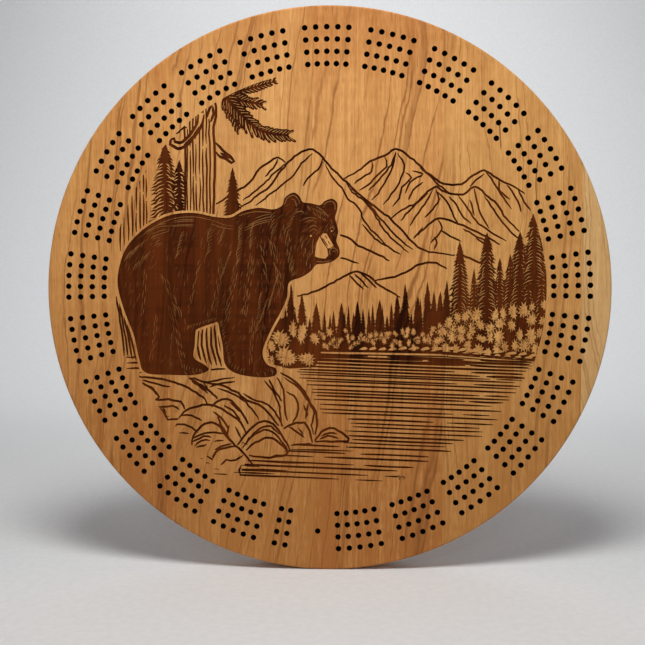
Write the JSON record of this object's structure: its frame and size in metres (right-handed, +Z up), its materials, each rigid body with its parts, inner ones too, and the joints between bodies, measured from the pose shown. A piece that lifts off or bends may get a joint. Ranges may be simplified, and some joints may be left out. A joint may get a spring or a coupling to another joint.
{
  "type": "cribbage board",
  "caption": "Round hardwood cribbage board with ring tracks of peg holes, and on its back rubber feet and a peg store with a swivelling cover.",
  "frame": {"origin": "under the lowest point of the rim, midway between the playing face and the tips of the feet", "axes": "+Z up with the finish hole at the bottom, +X to the right across the playing face, -Y out of the playing face, +Y out of the back towards the feet"},
  "size_m": [0.3556, 0.025, 0.3556],
  "materials": {
    "heartwood": "satin clear finish over cherry heartwood",
    "sapwood": "satin clear finish over cherry sapwood",
    "cover_steel": "brushed",
    "screw_steel": "bright zinc",
    "brass": "turned",
    "magnet_nickel": "nickel plated",
    "rubber": "matte",
    "peg_red": "gloss",
    "peg_blue": "gloss",
    "peg_green": "gloss",
    "peg_yellow": "gloss"
  },
  "bodies": {
    "board": {"left_edge_stave": "heartwood", "left_stave": "heartwood", "centre_stave": "heartwood", "right_stave": "heartwood", "right_edge_stave": "sapwood", "peg_red_1": "peg_red", "peg_red_2": "peg_red", "peg_red_3": "peg_red", "peg_blue_1": "peg_blue", "peg_blue_2": "peg_blue", "peg_blue_3": "peg_blue", "peg_green_1": "peg_green", "peg_green_2": "peg_green", "peg_green_3": "peg_green", "peg_yellow_1": "peg_yellow", "peg_yellow_2": "peg_yellow", "peg_yellow_3": "peg_yellow", "pivot_screw": "screw_steel", "cover_washer": "screw_steel", "cover_shim": "brass", "threaded_insert": "brass", "catch_magnet": "magnet_nickel", "foot_upper_left": "rubber", "foot_upper_right": "rubber", "foot_lower_left": "rubber", "foot_lower_right": "rubber", "foot_screws": "screw_steel"},
    "cover": {"cover_plate": "cover_steel"}
  },
  "joints": [
    {"name": "cover_swing", "type": "hinge", "parent": "board", "child": "cover", "pos_m": [0, 0.00765, 0.2148], "axis": [0, 1, 0], "continuous": true}
  ]
}
